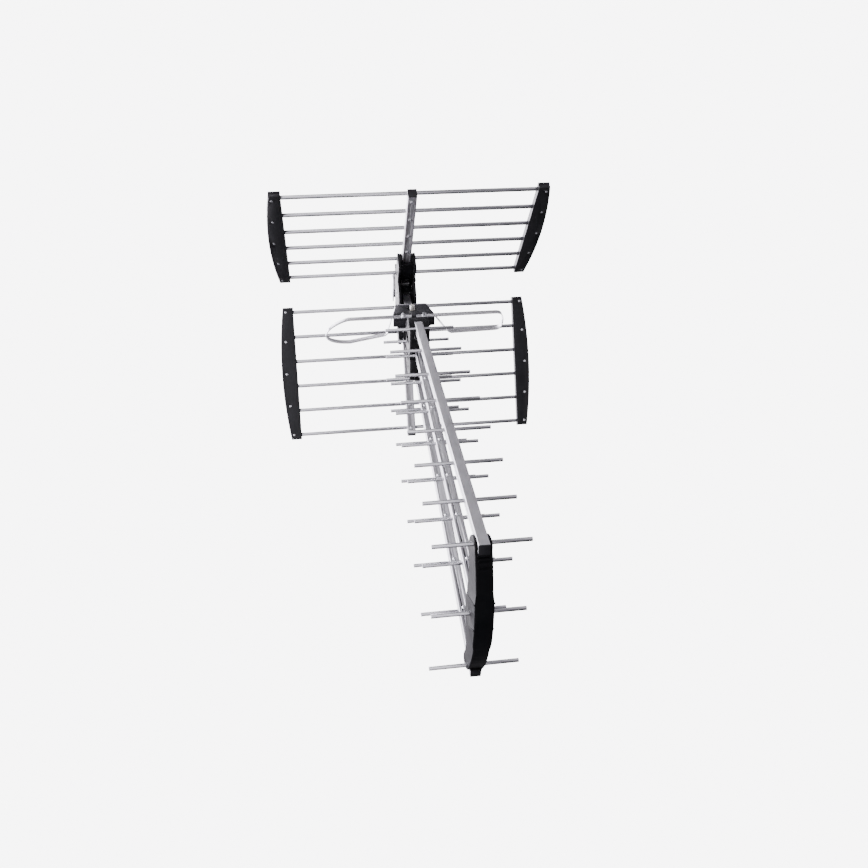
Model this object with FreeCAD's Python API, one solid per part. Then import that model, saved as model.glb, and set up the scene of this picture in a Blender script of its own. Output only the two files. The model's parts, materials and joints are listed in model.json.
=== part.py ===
import FreeCAD, Part
import math
import os

# Three-boom UHF yagi antenna with a folding V reflector. Millimetres.
# Frame: +Z up, the booms run along Y with the front tip at -Y, +X is to the
# right seen from the front. The origin is on the mast's axis, level with the
# main boom, where the mast clamp grips the mast.

# ---- driving dimensions -------------------------------------------------
BOOM = 16.0               # side of every square boom tube
BOOM_WALL = 1.2
BOOM_CORNER = 1.5

DIRECTOR_LENGTH = 133.2
DIRECTOR_R = 3.0
DIRECTOR_WALL = 0.8
DIRECTOR_PITCH = 96.1     # along each boom
MAIN_FIRST_Y = -1050.0    # front director of the main boom
MAIN_REGULAR = 8          # directors at the regular pitch on the main boom
MAIN_LAST_Y = -320.0      # extra director just ahead of the dipole
MAIN_BOOM_Y = (-1071.0, -39.0)

SIDE_FIRST_Y = -1041.0    # front director of the upper and lower booms
SIDE_FIRST_Z = 122.0
SIDE_SLOPE = 5.55         # degrees, towards the main boom going rearwards
SIDE_COUNT = 8
SIDE_BOOM_S = (-14.0, 690.0)   # boom ends, along the boom from its front director

RUN_FIT = 0.05            # radial clearance of a pin in its hole
SLIDE_GAP = 0.4           # clearance between parts that swing past each other

REFLECTOR_TILT = 30.8     # degrees that each panel leans to the front
REFLECTOR_Y = -83.1       # hinge rods
REFLECTOR_DROP = 7.4      # reflector centre below the main boom's axis
HINGE_HALF = 43.3         # hinge rods above and below the reflector centre
ROD_PITCH = 55.2
ROD_COUNT = 6
ROD_R = 4.0
ROD_WALL = 0.8
ROD_HALF = 260.0
PANEL_TUBE = 18.0         # side of the panels' square tubes
PANEL_TUBE_S = (-8.0, 290.5)

CAP_INNER_X = 250.0       # side caps
CAP_END_X = 272.5
CAP_MID_X = 284.0
CAP_S = (-10.5, 286.5)
CAP_HALF_THICK = 7.5
CAP_WALL = 2.0
CAP_SCREWS = ((266.5, 0.0), (270.3, 66.0), (273.3, 138.0), (270.3, 210.0), (266.5, 276.0))

DIPOLE_Y = -275.3         # centre of the dipole's top strip
DIPOLE_Z = 32.0
STRIP_WIDTH = 12.6
STRIP_THICK = 1.6

MAST_R = 12.7
SADDLE_LENGTH = 40.0
SEAT_HALF_ANGLE = 65.0
U_BOLT_R = 2.5
TILT_PIVOT_Y = -52.0
TILT_BOLT_R = 4.0

X_AXIS = FreeCAD.Vector(1, 0, 0)
Y_AXIS = FreeCAD.Vector(0, 1, 0)
Z_AXIS = FreeCAD.Vector(0, 0, 1)
ORIGIN = FreeCAD.Vector(0, 0, 0)


# ---- helpers ------------------------------------------------------------
def vec(x, y, z):
    return FreeCAD.Vector(x, y, z)


def block(x_span, y_span, z_span):
    size = [high - low for low, high in (x_span, y_span, z_span)]
    return Part.makeBox(*size, vec(x_span[0], y_span[0], z_span[0]))


def mid_block(half_x, y_span, z_span):
    return block((-half_x, half_x), y_span, z_span)


def pin(radius, start, axis, length):
    return Part.makeCylinder(radius, length, start, axis)


def cross_pin(radius, y, z, half):
    return pin(radius, vec(-half, y, z), X_AXIS, 2 * half)


def fuse(shapes):
    first, rest = shapes[0], shapes[1:]
    return (first.fuse(rest) if rest else first).removeSplitter()


def cut(shape, tools):
    return shape.cut(tools)


def side_profile(points, x_span):
    """Polygon in (y, z), extruded over an x span."""
    wire = Part.makePolygon([vec(x_span[0], y, z) for y, z in points + points[:1]])
    return Part.Face(wire).extrude(vec(x_span[1] - x_span[0], 0, 0))


def mirrored(shape):
    return shape.mirror(ORIGIN, X_AXIS)


def save(name, shape):
    if len(shape.Solids) == 1:
        shape = shape.Solids[0]
    shape.exportStep("parts/" + name + ".step")


def save_group(name, shapes):
    Part.makeCompound(shapes).exportStep("parts/" + name + ".step")


def square_tube(half, wall, corner, y_span):
    """Square tube along Y, centred on x = z = 0."""
    outer = mid_block(half, y_span, (-half, half))
    long_edges = [e for e in outer.Edges if abs(e.tangentAt(e.FirstParameter).y) > 0.9]
    outer = outer.makeFillet(corner, long_edges)
    end_edges = [e for e in outer.Edges if e.BoundBox.YLength < 0.01]
    outer = outer.makeChamfer(0.6, end_edges)
    inside = half - wall
    return outer.cut(mid_block(inside, (y_span[0] - 1, y_span[1] + 1), (-inside, inside)))


def round_tube(radius, wall, half, y, z):
    return cross_pin(radius, y, z, half).cut(cross_pin(radius - wall, y, z, half + 1))


def hex_prism(across_flats, start, axis, length):
    radius = across_flats / math.sqrt(3)
    corners = [vec(radius * math.cos(k * math.pi / 3), radius * math.sin(k * math.pi / 3), 0)
               for k in range(7)]
    prism = Part.Face(Part.makePolygon(corners)).extrude(vec(0, 0, length))
    prism.Placement = FreeCAD.Placement(start, FreeCAD.Rotation(Z_AXIS, axis))
    return prism


# ---- screws -------------------------------------------------------------
SCREW_HEAD_R = 3.5
SCREW_HEAD_H = 2.4
SCREW_SHANK_R = 1.7


def pan_screw(head_r, head_h, shank_r, shank):
    """Pan-head screw at the origin: head above z = 0, shank below, cross recess."""
    dome_r = (head_r ** 2 + head_h ** 2) / (2 * head_h) + 1.2
    dome = Part.makeSphere(dome_r, vec(0, 0, head_h - dome_r))
    head = pin(head_r, ORIGIN, Z_AXIS, head_h).common(dome)
    screw = head.fuse(pin(shank_r, vec(0, 0, -shank), Z_AXIS, shank + 0.5))
    slot = head_r * 0.62
    arm = 0.45
    recess = [block((-slot, slot), (-arm, arm), (head_h * 0.45, head_h + 1)),
              block((-arm, arm), (-slot, slot), (head_h * 0.45, head_h + 1))]
    return screw.cut(recess[0].fuse(recess[1])).removeSplitter()


def director_screws(ys, up):
    """Screws at each director, on the top face (up = 1) or the bottom face (-1)."""
    screws = []
    for y in ys:
        screw = pan_screw(SCREW_HEAD_R, SCREW_HEAD_H, SCREW_SHANK_R, BOOM / 2 + 0.5)
        if up < 0:
            screw.rotate(ORIGIN, X_AXIS, 180)
        screw.translate(vec(0, y, up * BOOM / 2))
        screws.append(screw)
    return screws


# ---- booms and directors, built along Y and then placed -------------------
def directors(ys, up):
    """One tube per position; those with a screw have its hole in the up side."""
    rods = [round_tube(DIRECTOR_R, DIRECTOR_WALL, DIRECTOR_LENGTH / 2, y, 0) for y in ys]
    for k in range(1, len(ys) - 1):
        hole = pin(SCREW_SHANK_R + RUN_FIT, vec(0, ys[k], 0), vec(0, 0, up), DIRECTOR_R + 1)
        rods[k] = rods[k].cut(hole)
    return rods


def drilled_boom(y_span, ys, up):
    tube = square_tube(BOOM / 2, BOOM_WALL, BOOM_CORNER, y_span)
    tools = [cross_pin(DIRECTOR_R + RUN_FIT, y, 0, BOOM) for y in ys]
    tools += [pin(SCREW_SHANK_R + RUN_FIT, vec(0, y, 0), vec(0, 0, up), BOOM) for y in ys[1:-1]]
    return cut(tube, tools)


def side_place(shape, side):
    """Place a shape built along Y onto the upper (1) or lower (-1) boom's axis."""
    placed = shape.copy()
    placed.rotate(ORIGIN, X_AXIS, -side * SIDE_SLOPE)
    placed.translate(vec(0, SIDE_FIRST_Y, side * SIDE_FIRST_Z))
    return placed


def side_point(s, side):
    slope = math.radians(SIDE_SLOPE)
    return (SIDE_FIRST_Y + s * math.cos(slope), side * (SIDE_FIRST_Z - s * math.sin(slope)))


# The first and last director of each boom run through a moulding, which holds
# them, so only the ones between have a screw.
MAIN_YS = [MAIN_FIRST_Y + k * DIRECTOR_PITCH for k in range(MAIN_REGULAR)] + [MAIN_LAST_Y]
SIDE_YS = [k * DIRECTOR_PITCH for k in range(SIDE_COUNT)]
BOOM_CAP_LIP = 1.6        # plastic end caps stand this far out of their tubes
PANEL_CAP_LIP = 3.0


def tube_end_cap(side, lip_length, y_end, outward, plug=9.5):
    """Push-in cap at the end of a square tube along Y."""
    half = side / 2
    low, high = sorted((y_end, y_end + outward * lip_length))
    lip = mid_block(half, (low, high), (-half, half))
    rim = [e for e in lip.Edges if abs(e.tangentAt(e.FirstParameter).y) > 0.9]
    lip = lip.makeFillet(BOOM_CORNER, rim)
    inside = half - BOOM_WALL - 0.05
    low, high = sorted((y_end - outward * plug, y_end))
    body = mid_block(inside, (low, high), (-inside, inside))
    low, high = sorted((y_end - outward * (plug + 1), y_end - outward * 1.5))
    hollow = mid_block(inside - 1.5, (low, high), (-inside + 1.5, inside - 1.5))
    return fuse([lip, body.cut(hollow)])


def build_booms():
    bolt_holes = [cross_pin(HUB_BOLT_R + RUN_FIT, y, 0, BOOM) for y in HUB_BOLT_YS]
    bolt_holes.append(cross_pin(TILT_BOLT_R + RUN_FIT, TILT_PIVOT_Y, 0, BOOM))
    save("main_boom", cut(drilled_boom(MAIN_BOOM_Y, MAIN_YS, 1), bolt_holes))
    save_group("main_directors", directors(MAIN_YS, 1))
    save_group("main_boom_screws", director_screws(MAIN_YS[1:-1], 1))
    for name, side in (("upper", 1), ("lower", -1)):
        boom = drilled_boom(SIDE_BOOM_S, SIDE_YS, -side)
        save(name + "_boom", side_place(boom, side))
        rods = [side_place(rod, side) for rod in directors(SIDE_YS, -side)]
        save_group(name + "_directors", rods)
        screws = [side_place(s, side) for s in director_screws(SIDE_YS[1:-1], -side)]
        save_group(name + "_boom_screws", screws)
        save(name + "_boom_cap", side_place(tube_end_cap(BOOM, BOOM_CAP_LIP, SIDE_BOOM_S[0], -1), side))


def main_boom_plug():
    """Solid insert that fills the main boom's rear end round the tilt bolt."""
    inside = BOOM / 2 - BOOM_WALL - 0.05
    body = mid_block(inside, (MAIN_BOOM_Y[1] - 30, MAIN_BOOM_Y[1]), (-inside, inside))
    lip_span = (MAIN_BOOM_Y[1], MAIN_BOOM_Y[1] + BOOM_CAP_LIP)
    lip = mid_block(BOOM / 2, lip_span, (-BOOM / 2, BOOM / 2))
    bore = cross_pin(TILT_BOLT_R + RUN_FIT, TILT_PIVOT_Y, 0, BOOM)
    return fuse([body, lip]).cut(bore)


# ---- front bow: joins the three boom tips ---------------------------------
BOW_HALF = 12.0
BOW_SWELL = 1.6           # the cheeks are this much thicker round the main boom
BOW_SLOT = BOOM / 2 + 0.1
BOW_FRONT_Y = MAIN_FIRST_Y - 35.0
BOW_SAGITTA = 32.0
BOW_ARC_HALF_Z = 118.0
BOW_ARC_R = (BOW_ARC_HALF_Z ** 2 + BOW_SAGITTA ** 2) / (2 * BOW_SAGITTA)
BOW_WALL = 3.5
# Rear outline of a cheek from its upper to its lower front corner: behind
# MAIN_FIRST_Y, and z. There is a lobe behind each boom and a waist between.
BOW_REAR = ((-3.0, 124.0), (6.0, 129.5), (19.6, 126.0), (33.0, 115.0), (39.5, 100.0),
            (37.5, 82.0), (30.0, 66.0), (24.5, 47.0), (26.0, 22.0), (31.0, -8.0), (29.0, -36.0),
            (25.5, -65.0), (20.5, -90.0), (25.0, -106.0), (31.5, -120.0), (30.5, -132.0),
            (20.0, -134.5), (7.0, -128.5), (-3.0, -118.0))


def bow_cheek_face():
    rear = Part.BSplineCurve()
    rear.interpolate([vec(0, MAIN_FIRST_Y + y, z) for y, z in BOW_REAR])
    corner_y = BOW_FRONT_Y + BOW_SAGITTA
    low = vec(0, corner_y, -BOW_ARC_HALF_Z)
    high = vec(0, corner_y, BOW_ARC_HALF_Z)
    arc = Part.Arc(low, vec(0, BOW_FRONT_Y, 0), high).toShape()
    top = Part.LineSegment(high, rear.StartPoint).toShape()
    return Part.Face(Part.Wire([rear.toShape(), arc, top]))


def bow_cheek():
    """Right-hand cheek, with a rounded outer edge and a swelling round the main boom."""
    cheek = bow_cheek_face().extrude(vec(BOW_HALF - BOW_SLOT, 0, 0))
    cheek.translate(vec(BOW_SLOT, 0, 0))
    outer_edges = [e for e in cheek.Edges if abs(e.BoundBox.XMin - BOW_HALF) < 0.01]
    cheek = cheek.makeFillet(1.8, outer_edges)
    swollen = bow_cheek_face().extrude(vec(BOW_HALF + BOW_SWELL, 0, 0))
    outer_edges = [e for e in swollen.Edges if abs(e.BoundBox.XMin - BOW_HALF - BOW_SWELL) < 0.01]
    swollen = swollen.makeFillet(1.8, outer_edges)
    outline = [(BOW_SLOT, 62.0), (BOW_HALF, 62.0), (BOW_HALF + BOW_SWELL, 46.0),
               (BOW_HALF + BOW_SWELL, -26.0), (BOW_HALF, -42.0), (BOW_SLOT, -42.0)]
    corners = [vec(x, BOW_FRONT_Y - 1, z) for x, z in outline + outline[:1]]
    room = Part.Face(Part.makePolygon(corners)).extrude(vec(0, 90, 0))
    return cheek.fuse(swollen.common(room))


def bow_front_y(z):
    return BOW_FRONT_Y + BOW_ARC_R - math.sqrt(BOW_ARC_R ** 2 - z ** 2)


def bow_front_wall():
    """Band that follows the front arc between the two cheeks, and two grip bars on it."""
    half_z = 110.0
    centre = vec(-BOW_SLOT - 0.5, BOW_FRONT_Y + BOW_ARC_R, 0)
    outer = Part.makeCylinder(BOW_ARC_R, 2 * BOW_SLOT + 1, centre, X_AXIS)
    inner = Part.makeCylinder(BOW_ARC_R - BOW_WALL, 2 * BOW_SLOT + 1, centre, X_AXIS)
    window = mid_block(BOW_SLOT + 0.5, (BOW_FRONT_Y - 1, BOW_FRONT_Y + 40), (-half_z, half_z))
    bars = []
    for z in (96.5, 105.0):
        front = bow_front_y(z + 2)
        bars.append(mid_block(BOOM / 2 - 0.5, (front - 1.4, front + 2), (z, z + 4.5)))
    return [outer.cut(inner).common(window)] + bars


def bow_webs():
    """Cross webs that seat the booms between the cheeks."""
    half = BOW_SLOT + 0.5
    seat = BOOM / 2 + 0.1
    webs = []
    for side in (1, -1):
        web = mid_block(half, (SIDE_BOOM_S[0] - 2, 18), sorted((-side * seat, -side * (seat + 3))))
        webs.append(side_place(web, side))
        webs.append(mid_block(half, (BOW_FRONT_Y + 2, MAIN_FIRST_Y + 18),
                              sorted((side * seat, side * (seat + 3)))))
    return webs


def bow_ribs():
    """Slanting ribs on the outer faces of the cheeks, rising to the front."""
    ribs = []
    for back, front in (((15.0, 17.0), (-31.0, 47.0)), ((2.0, -30.0), (-33.5, 1.0))):
        points = [(MAIN_FIRST_Y + y, z) for y, z in (back, front)]
        points += [(y, z + 2.6) for y, z in reversed(points)]
        face_x = BOW_HALF + BOW_SWELL
        ribs.append(side_profile(points, (face_x - 1.0, face_x + 0.9)))
    cheek_room = bow_cheek_face().extrude(vec(BOW_HALF + BOW_SWELL + 1, 0, 0))
    ribs = [rib.common(cheek_room) for rib in ribs]
    return ribs + [mirrored(r) for r in ribs]


def front_bow():
    cheek = bow_cheek()
    bow = fuse([cheek, mirrored(cheek)] + bow_front_wall() + bow_webs() + bow_ribs())
    holes = [cross_pin(DIRECTOR_R + RUN_FIT, MAIN_FIRST_Y, 0, 20)]
    for side in (1, -1):
        holes.append(cross_pin(DIRECTOR_R + RUN_FIT, SIDE_FIRST_Y, side * SIDE_FIRST_Z, 20))
        clear = mid_block(BOW_SLOT, (SIDE_BOOM_S[0] - 3, 70), (-BOOM / 2 - 0.1, BOOM / 2 + 0.1))
        holes.append(side_place(clear, side))
    return cut(bow, holes)


# ---- boom bracket: carries the rear ends of the upper and lower booms -------
BRACKET_HALF = 20.0
BRACKET_Y = (-378.0, -297.0)
BRACKET_Z = 64.0
BRACKET_BACK_Y = -286.0   # the middle reaches further back, round the knob's screw
KNOB_Y = -296.0
KNOB_R = 6.6
KNOB_LENGTH = 9.6
KNOB_SHANK_R = 2.5
KNOB_PAD = (10.0, 4.4)    # radius and height of the pad under the knob


def bracket_blank():
    front, rear = BRACKET_Y
    outline = [(front, -BRACKET_Z + 7), (front, BRACKET_Z - 7), (front + 24, BRACKET_Z),
               (rear, BRACKET_Z), (rear, -BRACKET_Z), (front + 24, -BRACKET_Z)]
    body = side_profile(outline, (-BRACKET_HALF, BRACKET_HALF))
    uprights = [e for e in body.Edges if abs(e.tangentAt(e.FirstParameter).z) > 0.9]
    body = body.makeFillet(5.0, uprights)
    slopes = [e for e in body.Edges if e.BoundBox.XMax - e.BoundBox.XMin < 0.01
              and abs(e.tangentAt(e.FirstParameter).y) > 0.9]
    body = body.makeChamfer(1.2, slopes)
    middle = mid_block(BRACKET_HALF, (rear - 10, BRACKET_BACK_Y), (-12, 12))
    pad_r, pad_height = KNOB_PAD
    left_pad = pin(pad_r, vec(-BRACKET_HALF - pad_height, KNOB_Y, 0), X_AXIS, pad_height + 1)
    right_pad = pin(pad_r, vec(BRACKET_HALF - 1, KNOB_Y, 0), X_AXIS, 2.6)
    return [body, middle, left_pad, right_pad]


def boom_bracket():
    front, rear = BRACKET_Y
    pieces = bracket_blank()
    seat = BOOM / 2 + 0.1
    for side in (1, -1):
        nose = mid_block(BOOM / 2 + 3, (SIDE_BOOM_S[1] - 36, SIDE_BOOM_S[1] - 10),
                         sorted((-side * seat, -side * (seat + 6))))
        pieces.append(side_place(nose, side))
    body = fuse(pieces)
    tools = [mid_block(seat, (front - 40, BRACKET_BACK_Y + 5), (-seat, seat))]
    tools.append(mid_block(30, (front - 5, MAIN_YS[-2] + DIRECTOR_R + 0.8), (-11, 11)))
    for side in (1, -1):
        slot = mid_block(seat, (SIDE_BOOM_S[1] - 60, SIDE_BOOM_S[1] + 0.4),
                         sorted((-side * seat, side * 60)))
        tools.append(side_place(slot, side))
        y, z = side_point(SIDE_YS[-1], side)
        tools.append(cross_pin(DIRECTOR_R + RUN_FIT, y, z, 30))
        # the rear steps in towards the main boom
        step = [(rear + 5, side * 24), (rear + 5, side * 70), (rear - 48, side * 70), (rear - 30, side * 52)]
        tools.append(side_profile(step, (-30, 30)))
        # coring on both sides leaves ribs
        for x_span in ((BRACKET_HALF - 6.5, BRACKET_HALF + 1), (-BRACKET_HALF - 1, -BRACKET_HALF + 6.5)):
            tools.append(block(x_span, (front + 22, rear - 30), sorted((side * 13, side * 30))))
            tools.append(block(x_span, (front + 22, rear - 44), sorted((side * 33.5, side * 48))))
            tools.append(block(x_span, (rear - 26, rear - 5), sorted((side * 13, side * 24))))
    tools.append(cross_pin(DIRECTOR_R + RUN_FIT, MAIN_LAST_Y, 0, 30))
    tools.append(pin(KNOB_SHANK_R + RUN_FIT, vec(-30, KNOB_Y, 0), X_AXIS, 30))
    return cut(body, tools)


def clamp_knob():
    """Fluted thumb screw in the left side of the bracket, bearing on the main boom."""
    face = -BRACKET_HALF - KNOB_PAD[1] - 0.4
    start = face - KNOB_LENGTH
    head = pin(KNOB_R, vec(start, KNOB_Y, 0), X_AXIS, KNOB_LENGTH)
    head = head.makeFillet(1.4, [e for e in head.Edges if abs(e.BoundBox.XMax - start) < 0.01])
    flutes = []
    for k in range(10):
        angle = 2 * math.pi * k / 10
        at = vec(start - 1, KNOB_Y + (KNOB_R + 0.7) * math.cos(angle), (KNOB_R + 0.7) * math.sin(angle))
        flutes.append(pin(1.3, at, X_AXIS, KNOB_LENGTH + 2))
    shank_end = -BOOM / 2 - SLIDE_GAP
    shank = pin(KNOB_SHANK_R, vec(face - 1, KNOB_Y, 0), X_AXIS, shank_end - face + 1)
    return fuse([head.cut(flutes), shank])


# ---- dipole ---------------------------------------------------------------
BOX_BOTTOM_Z = 12.8
BOX_SPLIT_Z = 26.0
LEDGE_Z = DIPOLE_Z - STRIP_THICK / 2
COVER_Z = 33.8
BOX_FRONT_Y = DIPOLE_Y - STRIP_WIDTH / 2 - 1.2
BOX_STEP_Y = DIPOLE_Y + STRIP_WIDTH / 2 + 0.2
BOX_REAR_Y = -230.0
BOX_FRONT_HALF = 43.5
BOX_REAR_HALF = 32.5
BOX_WALL = 2.0
TERMINAL_X = 21.6
CONNECTOR_Y = -247.5
RECESS_R = 10.5
RECESS_Z = 29.6
CONNECTOR_R = 4.76


def trapezoid(front_half, rear_half, y_span, z_span):
    front, rear = y_span
    points = [(-front_half, front), (front_half, front), (rear_half, rear), (-rear_half, rear)]
    wire = Part.makePolygon([vec(x, y, z_span[0]) for x, y in points + points[:1]])
    return Part.Face(wire).extrude(vec(0, 0, z_span[1] - z_span[0]))


def rounded_uprights(shape, radius):
    edges = [e for e in shape.Edges if abs(e.tangentAt(e.FirstParameter).z) > 0.99]
    return shape.makeFillet(radius, edges)


def dipole_housing():
    outer = trapezoid(BOX_FRONT_HALF, BOX_REAR_HALF, (BOX_FRONT_Y, BOX_REAR_Y), (BOX_BOTTOM_Z, BOX_SPLIT_Z))
    outer = rounded_uprights(outer, 3.0)
    hollow = trapezoid(BOX_FRONT_HALF - BOX_WALL - 0.6, BOX_REAR_HALF - BOX_WALL - 0.6,
                       (BOX_FRONT_Y + BOX_WALL, BOX_REAR_Y - BOX_WALL),
                       (BOX_BOTTOM_Z + BOX_WALL, BOX_SPLIT_Z + 1))
    tray = outer.cut(hollow)
    leg_in, leg_out = BOOM / 2 + 0.1, BOOM / 2 + 3.1
    pieces = [tray]
    seat = mid_block(leg_out, (BOX_FRONT_Y + 8, BOX_REAR_Y - 6), (BOOM / 2 + 0.05, BOX_BOTTOM_Z + 0.5))
    pieces.append(seat)
    for x_span in ((leg_in, leg_out), (-leg_out, -leg_in)):
        pieces.append(block(x_span, (BOX_FRONT_Y + 8, BOX_REAR_Y - 6), (-5, BOX_BOTTOM_Z)))
        # shallow lobes under the front edge
        lobe_x = (14, 34) if x_span[0] > 0 else (-34, -14)
        lobe_z = (BOX_BOTTOM_Z - 2.6, BOX_BOTTOM_Z + 0.5)
        pieces.append(block(lobe_x, (BOX_FRONT_Y + 1, BOX_FRONT_Y + 16), lobe_z))
    for x, y in ((26, BOX_FRONT_Y + 10), (20.8, BOX_REAR_Y - 9)):
        for side in (1, -1):
            pieces.append(pin(2.2, vec(side * x, y, BOX_BOTTOM_Z + 1), Z_AXIS, 5.2))
    return fuse(pieces)


def dipole_cover():
    ledge = trapezoid(BOX_FRONT_HALF, BOX_REAR_HALF, (BOX_FRONT_Y, BOX_REAR_Y), (BOX_SPLIT_Z, LEDGE_Z))
    ledge = rounded_uprights(ledge, 3.0)
    step_half = BOX_FRONT_HALF - 1.5
    top = trapezoid(step_half, BOX_REAR_HALF - 0.6, (BOX_STEP_Y, BOX_REAR_Y - 0.6), (LEDGE_Z - 1, COVER_Z))
    top = rounded_uprights(top, 1.2)
    divider = block((-4.4, 4.4), (BOX_FRONT_Y + 1.5, BOX_STEP_Y + 1), (LEDGE_Z - 1, COVER_Z + 1.6))
    cover = fuse([ledge, top, divider])
    hollow = trapezoid(BOX_FRONT_HALF - BOX_WALL - 0.6, BOX_REAR_HALF - BOX_WALL - 0.6,
                       (BOX_FRONT_Y + BOX_WALL, BOX_REAR_Y - BOX_WALL), (BOX_SPLIT_Z - 1, LEDGE_Z - 3.0))
    tools = [hollow]
    tools.append(pin(RECESS_R, vec(0, CONNECTOR_Y, RECESS_Z), Z_AXIS, 10))
    tools.append(pin(4.1 + RUN_FIT, vec(0, CONNECTOR_Y, BOX_SPLIT_Z - 1), Z_AXIS, 10))
    for x in (-TERMINAL_X, TERMINAL_X):
        tools.append(pin(2.0 + RUN_FIT, vec(x, DIPOLE_Y, BOX_SPLIT_Z - 1), Z_AXIS, 10))
    return cut(cover, tools)


def balun_board():
    """Matching board on the four posts, with its transformer core and a soldering pad strip."""
    z = BOX_BOTTOM_Z + 6.2
    board = trapezoid(BOX_FRONT_HALF - 6, BOX_REAR_HALF - 4, (BOX_FRONT_Y + 4, BOX_REAR_Y - 4), (z, z + 1.6))
    core = block((-22, -10), (CONNECTOR_Y - 8, CONNECTOR_Y + 6), (z + 1.6, z + 6.2))
    bore = pin(1.6, vec(-23, CONNECTOR_Y - 1, z + 3.9), X_AXIS, 14)
    capacitor = pin(2.6, vec(17, CONNECTOR_Y - 2, z + 1.6), Z_AXIS, 4.4)
    return fuse([board, core.cut(bore), capacitor])


def f_connector():
    """Female F connector: hex collar, threaded barrel upwards, tail down to the board."""
    collar = hex_prism(11.0, vec(0, CONNECTOR_Y, RECESS_Z), Z_AXIS, 2.6)
    barrel = pin(CONNECTOR_R, vec(0, CONNECTOR_Y, RECESS_Z), Z_AXIS, 12.4)
    mouth = [e for e in barrel.Edges if abs(e.BoundBox.ZMin - RECESS_Z - 12.4) < 0.01]
    barrel = barrel.makeChamfer(0.4, mouth)
    tail = pin(4.1, vec(0, CONNECTOR_Y, BOX_BOTTOM_Z + 7.8), Z_AXIS, RECESS_Z - BOX_BOTTOM_Z - 7.3)
    bore = pin(3.1, vec(0, CONNECTOR_Y, RECESS_Z + 1.0), Z_AXIS, 15)
    return fuse([collar, barrel, tail]).cut(bore)


def connector_insulator():
    """White insulator in the connector's mouth, with the socket for the cable's core."""
    base = RECESS_Z + 1.0
    body = pin(3.05, vec(0, CONNECTOR_Y, base), Z_AXIS, 10.4)
    return body.cut(pin(0.6, vec(0, CONNECTOR_Y, base + 2), Z_AXIS, 15))


def terminal_screw(x):
    """Hex-washer screw that holds the strip on the ledge."""
    top = DIPOLE_Z + STRIP_THICK / 2
    washer = pin(4.6, vec(x, DIPOLE_Y, top), Z_AXIS, 1.0)
    head = hex_prism(7.0, vec(x, DIPOLE_Y, top + 0.8), Z_AXIS, 4.6)
    shank = pin(2.0, vec(x, DIPOLE_Y, BOX_BOTTOM_Z + 9.0), Z_AXIS, top - BOX_BOTTOM_Z - 8.5)
    return fuse([washer, head, shank])


# The dipole strip runs out from each terminal, round an end bend that also
# sweeps forwards, back to a kink, and then edge-on to the rear of the box. It is
# bent by hand, so the two ends differ: the left one is long and open, the right
# one short and tight.
class LoopEnd:
    def __init__(self, end_x, bend, drop, sweep, fullness, sweep_rate, drop_rate, kink):
        self.end_x = end_x              # furthest out
        self.bend = bend                # length of the end bend
        self.drop = drop                # height of the end bend
        self.sweep = sweep              # how far it goes forwards
        self.fullness = fullness        # below 1 is squarer, above 1 more pointed
        self.sweep_rate = sweep_rate    # below 1, the sweep comes early in the bend
        self.drop_rate = drop_rate      # below 1, the drop comes early in the bend
        self.kink = kink


LOOP_ENDS = {
    1: LoopEnd(184.0, 21.5, 26.7, 20.9, 0.63, 1.3, 1.7, (66.5, -311.6, 13.1)),
    -1: LoopEnd(181.0, 47.0, 29.4, 39.5, 0.93, 0.65, 0.62, (59.7, -312.4, 14.1)),
}
LOOP_REAR = (34.4, -225.5, 25.5)


def loop_stations(side):
    """(centre, width direction) along one half of the strip, from its terminal."""
    end = LOOP_ENDS[side]
    across = vec(0, 1, 0)
    edge_on = vec(side * 0.34, 0.32, -0.88)
    stations = [(vec(side * 4.9, DIPOLE_Y, DIPOLE_Z), across)]
    start = end.end_x - end.bend
    stations.append((vec(side * start, DIPOLE_Y, DIPOLE_Z), across))
    steps = 16
    for k in range(1, steps + 1):
        angle = math.pi * k / steps
        part = (1 - math.cos(angle)) / 2
        x = start + end.bend * math.sin(angle) ** end.fullness
        y = DIPOLE_Y - end.sweep * part ** end.sweep_rate
        z = DIPOLE_Z - end.drop * part ** end.drop_rate
        stations.append((vec(side * x, y, z), across))
    kink = vec(side * end.kink[0], end.kink[1], end.kink[2])
    rear = vec(side * LOOP_REAR[0], LOOP_REAR[1], LOOP_REAR[2])
    stations.append((kink + vec(side * 5, 0, -0.6), across))
    leg = rear - kink
    for k, share in enumerate((0.02, 0.06, 0.11, 0.17)):
        turn = (k + 1) / 4.0
        width = across * (1 - turn) + edge_on * turn
        stations.append((kink + leg * share, width.normalize()))
    stations.append((kink + leg * 0.9, edge_on))
    stations.append((rear, vec(side * 0.15, 0.1, -0.98)))
    stations.append((rear + vec(-side * 5, 2.4, 0), vec(0, 0, -1)))
    return stations


def strip_section(centre, width, along):
    thick = along.cross(width)
    thick.normalize()
    width = vec(width.x, width.y, width.z) * (STRIP_WIDTH / 2)
    thick = thick * (STRIP_THICK / 2)
    corners = [centre + width + thick, centre - width + thick, centre - width - thick, centre + width - thick]
    return Part.makePolygon(corners + corners[:1])


def dipole_loop():
    right = loop_stations(1)
    left = loop_stations(-1)
    stations = right + left[::-1]
    sections = []
    for k, (centre, width) in enumerate(stations):
        before = stations[max(k - 1, 0)][0]
        after = stations[min(k + 1, len(stations) - 1)][0]
        sections.append(strip_section(centre, width, (after - before).normalize()))
    strip = Part.makeLoft(sections, True, True)
    holes = [pin(2.0 + RUN_FIT, vec(x, DIPOLE_Y, DIPOLE_Z - 5), Z_AXIS, 10)
             for x in (-TERMINAL_X, TERMINAL_X)]
    return cut(strip, holes)


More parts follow.
